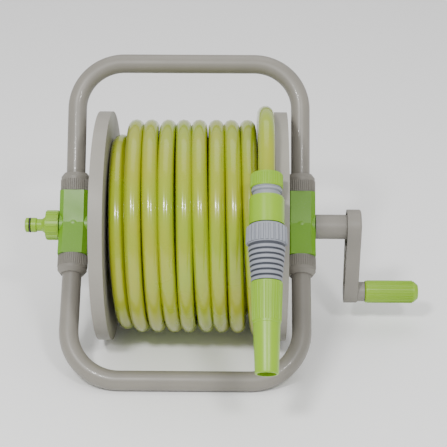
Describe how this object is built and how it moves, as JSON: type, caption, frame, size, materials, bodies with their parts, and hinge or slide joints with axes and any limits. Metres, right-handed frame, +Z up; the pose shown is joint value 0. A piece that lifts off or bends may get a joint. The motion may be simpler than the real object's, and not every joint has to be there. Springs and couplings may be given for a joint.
{
  "type": "garden hose reel",
  "caption": "Hand-carried garden hose reel: tube frame with hubs, a flanged drum turned by a crank, wound hose with a quick connector and an adjustable spray nozzle.",
  "frame": {"origin": "on the floor, below the middle of the reel's box without the hose's winding and nozzle", "axes": "+X along the axle towards the crank, +Y to the back, +Z up"},
  "size_m": [0.3972, 0.3387, 0.2599],
  "materials": {
    "frame_tube": "satin warm grey",
    "hub_green": "glossy leaf green",
    "collar_grey": "fine ribbed warm grey",
    "clamp_white": "plain",
    "bush_white": "slippery natural",
    "lime_plastic": "glossy lime",
    "seal_rubber": "black",
    "drum_grey": "light warm grey",
    "crank_grey": "warm grey",
    "inner_black": "black",
    "steel": "zinc",
    "hose_vinyl": "glossy lime vinyl",
    "nozzle_grey": "bluish grey soft grip",
    "stem_white": "plain"
  },
  "bodies": {
    "frame": {"handle_tube": "frame_tube", "foot_tube": "frame_tube", "left_hub": "hub_green", "right_hub": "hub_green", "upper_left_collar": "collar_grey", "upper_right_collar": "collar_grey", "lower_left_collar": "collar_grey", "lower_right_collar": "collar_grey", "upper_left_collar_clamp_ring": "clamp_white", "upper_right_collar_clamp_ring": "clamp_white", "lower_left_collar_clamp_ring": "clamp_white", "lower_right_collar_clamp_ring": "clamp_white", "left_bush": "bush_white", "right_bush": "bush_white", "inlet_nut": "lime_plastic", "inlet_nose": "lime_plastic", "inlet_washer": "seal_rubber", "inlet_o_ring": "seal_rubber", "hose_free_end": "hose_vinyl", "hose_nut": "lime_plastic", "connector_body": "nozzle_grey", "nozzle_core": "stem_white", "nozzle_o_ring": "seal_rubber", "nozzle_needle": "stem_white", "nozzle_grip": "nozzle_grey"},
    "grip": {"crank_grip": "lime_plastic"},
    "release": {"release_barrel": "lime_plastic"},
    "nozzle_tip": {"spray_cone": "lime_plastic"},
    "drum": {"swivel_o_ring_1": "seal_rubber", "swivel_o_ring_2": "seal_rubber", "left_flange": "drum_grey", "right_flange": "drum_grey", "barrel": "drum_grey", "left_barrel_ring": "drum_grey", "right_barrel_ring": "drum_grey", "drive_shaft": "crank_grey", "crank_arm": "crank_grey", "swivel_spigot": "inner_black", "outlet_elbow": "inner_black", "hose_clip": "steel", "left_flange_screws": "steel", "right_flange_screws": "steel", "crank_screw": "steel", "grip_clip": "steel", "hose_start": "hose_vinyl", "hose_coil": "hose_vinyl"}
  },
  "joints": [
    {"name": "drum_spin", "type": "hinge", "parent": "frame", "child": "drum", "pos_m": [-0.03605, 0.00833, 0.114], "axis": [1, 0, 0], "continuous": true},
    {"name": "grip_spin", "type": "hinge", "parent": "drum", "child": "grip", "pos_m": [0.16395, 0.00833, 0.04], "axis": [1, 0, 0], "continuous": true},
    {"name": "sleeve_release", "type": "slide", "parent": "frame", "child": "release", "axis": [0, 0.7071, 0.7071], "range_m": [0, 0.004], "stiffness_N_per_m": 150, "springref_m": -0.002},
    {"name": "nozzle_twist", "type": "hinge", "parent": "frame", "child": "nozzle_tip", "pos_m": [0.04045, -0.07723, 0.20946], "axis": [0, -0.7071, -0.7071], "range_deg": [0, 360]}
  ]
}
